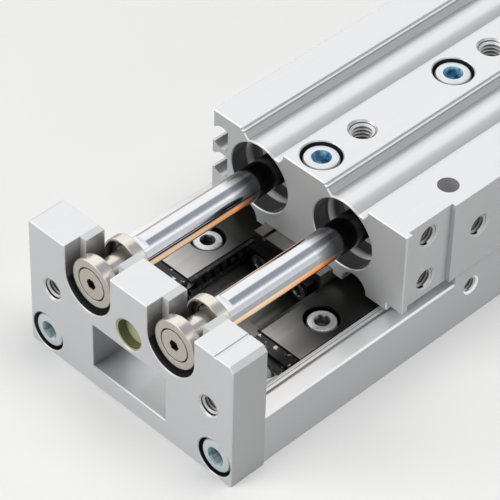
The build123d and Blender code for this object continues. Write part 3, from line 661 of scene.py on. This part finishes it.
def chromed(name, line):
    """Polished chrome with painted reflections; line is how dark the painted dark line above the warm band
    is.
    """
    material, tree, shader = blank(name)
    look = parts_of(tree, "Normal")
    angle = arithmetic(tree, "ARCTAN2", look["X"], look["Z"])
    y = parts_of(tree, "Object")["Y"]

    def round_rod(start, full, fade, end):
        """1 from full to fade, 0 outside start and end: angles in radians, from the top to the right."""
        return product(tree, spread(tree, angle, start, full), spread(tree, angle, fade, end, 1, 0))

    def before_body(fade, end):
        """1 on the free rod, fading to 0 between two distances in front of the body."""
        return spread(tree, y, body_low.y - fade, body_low.y - end, 1, 0)

    # Painted reflection: a warm band along the right flank and a faint twin on the left shoulder.
    band = product(tree, round_rod(1.38, 1.48, 1.84, 1.94), before_body(7 * mm, 2 * mm))
    twin = product(tree, round_rod(-1.0, -0.9, -0.72, -0.58), 0.6, before_body(5 * mm, 1 * mm))
    warm = arithmetic(tree, "ADD", band, twin)
    along = spread(tree, y, rod_low.y + 14 * mm, body_low.y - 8 * mm)
    warm_reflection = blend_colours(tree, along, warm_reflection_pale, warm_reflection_deep)
    core = product(tree, round_rod(1.46, 1.56, 1.60, 1.72), 0.4)
    warm_reflection = blend_colours(tree, core, warm_reflection, warm_reflection_core)
    streak = mottle(tree, (60, 1500, 60))
    tone = blend_colours(tree, spread(tree, streak, 0.3, 0.7), (0.90, 0.91, 0.93, 1), (0.85, 0.87, 0.90, 1))
    # Painted reflection: a dark line above the warm band.
    painted_dark_band = product(tree, round_rod(1.27, 1.30, 1.38, 1.41), line)
    tone = blend_colours(tree, painted_dark_band, tone, (0.02, 0.03, 0.07, 1))
    tone = blend_colours(tree, warm, tone, warm_reflection)
    # Painted shade: the rod goes dark towards the body.
    clear = square_of(tree, spread(tree, y, body_low.y - 11 * mm, body_low.y - 5.5 * mm, 1, 0.2))
    tone = blend_colours(tree, opposite(tree, clear), tone, (0.05, 0.05, 0.055, 1))
    tree.links.new(tone, shader.inputs["Base Color"])
    tree.links.new(spread(tree, warm, 0, 1, 1.0, 0.1), shader.inputs["Metallic"])
    # Painted glow of the warm band.
    glow = blend_colours(tree, product(tree, warm, clear), (0, 0, 0, 1), warm_reflection)
    tree.links.new(glow, shader.inputs["Emission Color"])
    shader.inputs["Emission Strength"].default_value = 0.42
    shader.inputs["Roughness"].default_value = 0.12
    relief(tree, shader, streak, 0.001 * mm)
    return material


dress(chromed("hard_chrome_left", 0.95), "piston_rod_left")
dress(chromed("hard_chrome_right", 0.1), "piston_rod_right")

# Floating bushes, their countersunk screws and the rod collars: turned steel with a warm satin
# nickel plate that keeps fine turning rings. A thin dark seam shows between screw and bush.

seam_inner, seam_outer = 3.85 * mm, 4.17 * mm


def turned_nickel(name, colour):
    material, tree, shader = blank(name)
    rings = mottle(tree, (1400, 150, 1400), 2.0)
    cloud = mottle(tree, (350, 350, 350))
    darker = shade_of(colour, 0.92)
    tone = blend_colours(tree, spread(tree, rings, 0.35, 0.65), colour, darker)
    tone = blend_colours(tree, spread(tree, cloud, 0.35, 0.7, 0, 0.4), tone, darker)
    # Painted shade darkens the hollows, such as the collars' cups and round the screws.
    tone = blend_colours(tree, hidden_from_light(tree, 3 * mm, 0.35, 0.85), tone, (0.02, 0.018, 0.015, 1))
    away = from_rods(tree)
    blur = 0.03 * mm
    seam = product(tree, spread(tree, away, seam_inner - blur, seam_inner + blur),
                   spread(tree, away, seam_outer - blur, seam_outer + blur, 1, 0),
                   spread(tree, facing(tree, "Y"), 0.5, 0.6))
    tone = blend_colours(tree, seam, tone, (0.05, 0.045, 0.04, 1))
    tree.links.new(tone, shader.inputs["Base Color"])
    tree.links.new(spread(tree, cloud, 0.3, 0.7, 0.18, 0.26), shader.inputs["Roughness"])
    shader.inputs["Metallic"].default_value = 0.85
    relief(tree, shader, rings, 0.006 * mm, 0.12 * mm)
    return material


dress(turned_nickel("satin_nickel", (0.92, 0.865, 0.78, 1)),
      "floating_bush_left", "floating_bush_right", "rod_collar_left", "rod_collar_right")
dress(turned_nickel("screw_nickel", (0.95, 0.87, 0.77, 1)), "bush_screw_left", "bush_screw_right")

# Guide block, rail, stop plate and balls: ground bearing steel, slightly brown, with a mottle of oil and
# the grinding lines along the stroke. Painted shade darkens their faces across Y, their hollows, the
# block towards its back and its counterbores, and the balls are painted near black as shade.
# The rail is screwed to the body and the block to the table.

block_counterbore_r = 4.4 * mm


def ground_steel(name, colour, roughness, shade_span=None, shaded_places=None):
    """Ground steel; shade_span holds the stretch along Y over which painted shade takes it from bare to
    dark, and shaded_places is a mask of its counterbores, which are painted black as shade."""
    material, tree, shader = blank(name)
    lines = mottle(tree, (1800, 25, 1800))
    oil = mottle(tree, (70, 45, 70), 2.0)
    darker = shade_of(colour, 0.72)
    tone = blend_colours(tree, spread(tree, lines, 0.3, 0.7, 0, 0.5), colour, darker)
    tone = blend_colours(tree, spread(tree, oil, 0.4, 0.7, 0, 0.4), tone, darker)
    # Painted shade: darker towards the back along Y.
    if shade_span:
        spot = parts_of(tree, "Object")
        slant = arithmetic(tree, "ADD", spot["Y"], product(tree, spot["X"], 0.15))
        tone = blend_colours(tree, spread(tree, slant, *shade_span), tone, shade_of(colour, 0.08))
    # Painted shade: the counterbores are painted black.
    if shaded_places:
        tone = blend_colours(tree, shaded_places(tree), tone, (0.008, 0.008, 0.008, 1))
    # Painted shade: faces across Y are painted near black.
    tone = blend_colours(tree, square_to(tree, "Y", 0.9), tone, (0.01, 0.01, 0.01, 1))
    # Painted shade in the hollows.
    tone = blend_colours(tree, hidden_from_light(tree, 5 * mm, 0.15, 0.7), tone, (0.015, 0.015, 0.015, 1))
    tree.links.new(tone, shader.inputs["Base Color"])
    gloss = spread(tree, oil, 0.3, 0.7, roughness, roughness + 0.14)
    tree.links.new(gloss, shader.inputs["Roughness"])
    shader.inputs["Metallic"].default_value = 0.8
    relief(tree, shader, lines, 0.006 * mm, 0.15 * mm)
    return material


block_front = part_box("guide_block")[0].y
dress(ground_steel("block_steel", (0.74, 0.73, 0.70, 1), 0.26, (block_front - 3 * mm, block_front + 15 * mm),
                   holes(block_screw_places, "Z", block_counterbore_r)), "guide_block")
dress(ground_steel("rail_steel", (0.40, 0.38, 0.355, 1), 0.3), "guide_rail")
dress(ground_steel("stop_plate_steel", (0.03, 0.03, 0.03, 1), 0.25), "rail_stop_plate")
# The balls are painted near black, as the shade between block and rail.
dress(ground_steel("ball_steel", (0.012, 0.012, 0.012, 1), 0.5), "bearing_balls")

# End caps, scrapers and ball retainers of the guide block, and the pistons' wear rings: moulded
# black resin, glossy with oil. The front cap and the scrapers have small silver flecks where the
# grease catches the light.


def oiled_resin(name, fleck):
    material, tree, shader = blank(name)
    fine = mottle(tree, (600, 600, 600))
    flecks = spread(tree, fine, 0.60, 0.66, 0, fleck)
    tone = blend_colours(tree, flecks, (0.012, 0.012, 0.013, 1), (0.75, 0.73, 0.70, 1))
    tree.links.new(tone, shader.inputs["Base Color"])
    tree.links.new(flecks, shader.inputs["Metallic"])
    shader.inputs["Roughness"].default_value = 0.22
    relief(tree, shader, fine, 0.05 * mm, 0.12 * mm)
    return material


dress(oiled_resin("black_resin", 0.1),
      "end_cap_rear", "wear_ring_left", "wear_ring_right", "ball_retainer_left", "ball_retainer_right")
dress(oiled_resin("flecked_resin", 1.0), "end_cap_front", "scraper_front", "scraper_rear")

# End bumper and piston bumpers: cast urethane, olive and slightly translucent. The end bumper is
# pressed into the end plate.


def urethane(name, colour):
    material, tree, shader = blank(name)
    cloud = mottle(tree, (260, 260, 260))
    tone = blend_colours(tree, cloud, colour, shade_of(colour, 0.8))
    # Painted shade: faces that don't look along Y, such as the walls of the bumper's cup, are darkened
    # towards near black.
    wall = spread(tree, facing(tree, "Y"), 0.9, 0.95, 0.75, 0)
    tree.links.new(blend_colours(tree, wall, tone, (0.03, 0.03, 0.012, 1)), shader.inputs["Base Color"])
    shader.inputs["Subsurface Weight"].default_value = 0.25
    shader.inputs["Subsurface Radius"].default_value = (2 * mm, 2 * mm, 1 * mm)
    shader.inputs["Roughness"].default_value = 0.42
    relief(tree, shader, cloud, 0.02 * mm)
    return material


dress(urethane("olive_urethane", (0.62, 0.63, 0.36, 1)),
      "end_bumper", "piston_bumpers_left", "piston_bumpers_right")

# Rod covers, head caps, pistons and seals, most of them out of sight inside the bores: black
# anodised and machined aluminium, nitrile rubber, and the pistons' magnets.

both = ("left", "right")


def soft_black(name, colour, roughness, metal, glint=0.0):
    """Black rubber, magnet or anodised metal; glint is a painted glow round the rod, for the bounced light
    there.
    """
    material, tree, shader = blank(name)
    grain = mottle(tree, (500, 500, 500))
    tone = blend_colours(tree, grain, colour, shade_of(colour, 1.5))
    tree.links.new(tone, shader.inputs["Base Color"])
    gloss = spread(tree, grain, 0.3, 0.7, roughness, roughness + 0.15)
    tree.links.new(gloss, shader.inputs["Roughness"])
    shader.inputs["Metallic"].default_value = metal
    if glint:
        # Painted glow round the rod.
        paint_glow(tree, shader, spread(tree, from_rods(tree), 5.2 * mm, 8 * mm, glint, 0.01))
    relief(tree, shader, grain, 0.01 * mm)
    return material


dress(soft_black("cover_black", (0.07, 0.07, 0.072, 1), 0.25, 0.2, 0.08), *["rod_cover_" + s for s in both])
dress(soft_black("nitrile", (0.018, 0.018, 0.018, 1), 0.5, 0.0), "rod_cover_o_rings", "head_cap_o_rings",
      *[seal + s for seal in ("rod_seal_", "piston_seal_") for s in both])
dress(soft_black("ring_magnet", (0.12, 0.12, 0.125, 1), 0.45, 0.5), *["piston_magnet_" + s for s in both])
dress(ground_steel("machined_aluminium", (0.70, 0.71, 0.72, 1), 0.3),
      *[turned + s for turned in ("head_cap_", "piston_") for s in both])

# Studio: a pale floor, and a bright tent with soft grey and warm bands that only the reflections
# pick up. One large lamp hangs overhead, one stands at the front left, and a weak one fills in
# from the right.

floor_bm = bmesh.new()
bmesh.ops.create_grid(floor_bm, x_segments=1, y_segments=1, size=6.0)
bmesh.ops.translate(floor_bm, verts=floor_bm.verts, vec=(0, 0, cad_box[0][2] - 0.02 * mm))
floor_mesh = bpy.data.meshes.new("floor")
floor_bm.to_mesh(floor_mesh)
floor_bm.free()
floor = bpy.data.objects.new("floor", floor_mesh)
bpy.context.scene.collection.objects.link(floor)
paper, paper_tree, paper_shader = blank("paper")
path = add(paper_tree, "LightPath")
seen = arithmetic(paper_tree, "MAXIMUM", path.outputs["Is Camera Ray"], path.outputs["Is Transmission Ray"])
paper_tone = blend_colours(paper_tree, seen, (0.47, 0.47, 0.465, 1), (0.93, 0.925, 0.915, 1))
paper_tree.links.new(paper_tone, paper_shader.inputs["Base Color"])
paper_shader.inputs["Roughness"].default_value = 1.0
paper_shader.inputs["Specular IOR Level"].default_value = 0.0
floor_mesh.materials.append(paper)

world = bpy.data.worlds.new("studio")
bpy.context.scene.world = world
world.use_nodes = True
sky = world.node_tree
look = parts_of(sky, "Generated")
swing = spread(sky, arithmetic(sky, "ARCTAN2", look["X"], look["Z"]), -math.pi, math.pi)
bands = add(sky, "ValToRGB")
sky.links.new(swing, bands.inputs["Fac"])

# The tent's colours round the rods: 0 and 1 are straight down, 0.25 is left, 0.5 up and 0.75 right.
stops = ((0.0, (0.35, 0.36, 0.38)), (0.20, (0.30, 0.28, 0.26)), (0.222, (1.0, 0.50, 0.22)),
         (0.25, (1.0, 0.9, 0.8)), (0.28, (1.0, 1.0, 1.0)), (0.45, (1.0, 1.0, 1.0)),
         (0.475, (0.30, 0.32, 0.36)), (0.56, (0.32, 0.34, 0.38)), (0.59, (0.55, 0.58, 0.62)),
         (0.61, (1.0, 1.0, 1.0)), (0.63, (1.0, 1.0, 1.0)), (0.66, (0.60, 0.62, 0.65)),
         (0.75, (0.66, 0.68, 0.70)), (0.86, (0.5, 0.40, 0.32)), (1.0, (0.35, 0.36, 0.38)))
ramp = bands.color_ramp.elements
while len(ramp) < len(stops):
    ramp.new(0.5)
for element, (position, colour) in zip(ramp, stops):
    element.position = position
for element, (position, colour) in zip(ramp, stops):
    element.color = colour + (1,)
path = add(sky, "LightPath")
tent = blend_colours(sky, path.outputs["Is Glossy Ray"], (0.30, 0.30, 0.305, 1), bands.outputs["Color"])
tent = blend_colours(sky, path.outputs["Is Camera Ray"], tent, (0.96, 0.96, 0.955, 1))
sky.links.new(tent, sky.nodes["Background"].inputs["Color"])


def lamp(name, direction, distance, level, size):
    """A square soft lamp; level 1 alone would render a facing colour as written."""
    data = bpy.data.lights.new(name, "AREA")
    data.shape = "SQUARE"
    data.size = size
    data.energy = math.pi ** 2 * distance ** 2 * level
    hung = bpy.data.objects.new(name, data)
    bpy.context.scene.collection.objects.link(hung)
    aim = Vector(direction).normalized()
    hung.location = aim * distance
    hung.rotation_euler = aim.to_track_quat("Z", "Y").to_euler()
    hung.visible_camera = False
    hung.visible_glossy = False


lamp("overhead_lamp", (0.2, 0.2, 1), 1.2, 0.44, 0.9)
lamp("front_left_lamp", (-0.35, -0.8, 0.6), 1.3, 0.50, 0.8)
lamp("right_fill_lamp", (1.0, 0.25, 0.35), 1.3, 0.09, 0.9)

# Camera: a long lens from the front right, looking down on the open table. Its place and turn
# were fitted to points of the photograph.

eye = Vector((0.31959, -0.36937, 0.44368))
yaw, pitch, roll = (math.radians(a) for a in (44.261, 42.456, 1.626))
ahead = Vector((-math.sin(yaw) * math.cos(pitch), math.cos(yaw) * math.cos(pitch), -math.sin(pitch)))
level_right = Vector((math.cos(yaw), math.sin(yaw), 0))
level_up = level_right.cross(ahead)
right = math.cos(roll) * level_right + math.sin(roll) * level_up
up = right.cross(ahead)
view = bpy.data.cameras.new("camera")
view.sensor_width = 36.0
view.lens = 202.0
view.clip_end = 20.0
camera = bpy.data.objects.new("camera", view)
bpy.context.scene.collection.objects.link(camera)
camera.matrix_world = Matrix.Translation(eye) @ Matrix((right, up, -ahead)).transposed().to_4x4()
bpy.context.scene.camera = camera
bpy.context.scene.view_settings.view_transform = "Standard"
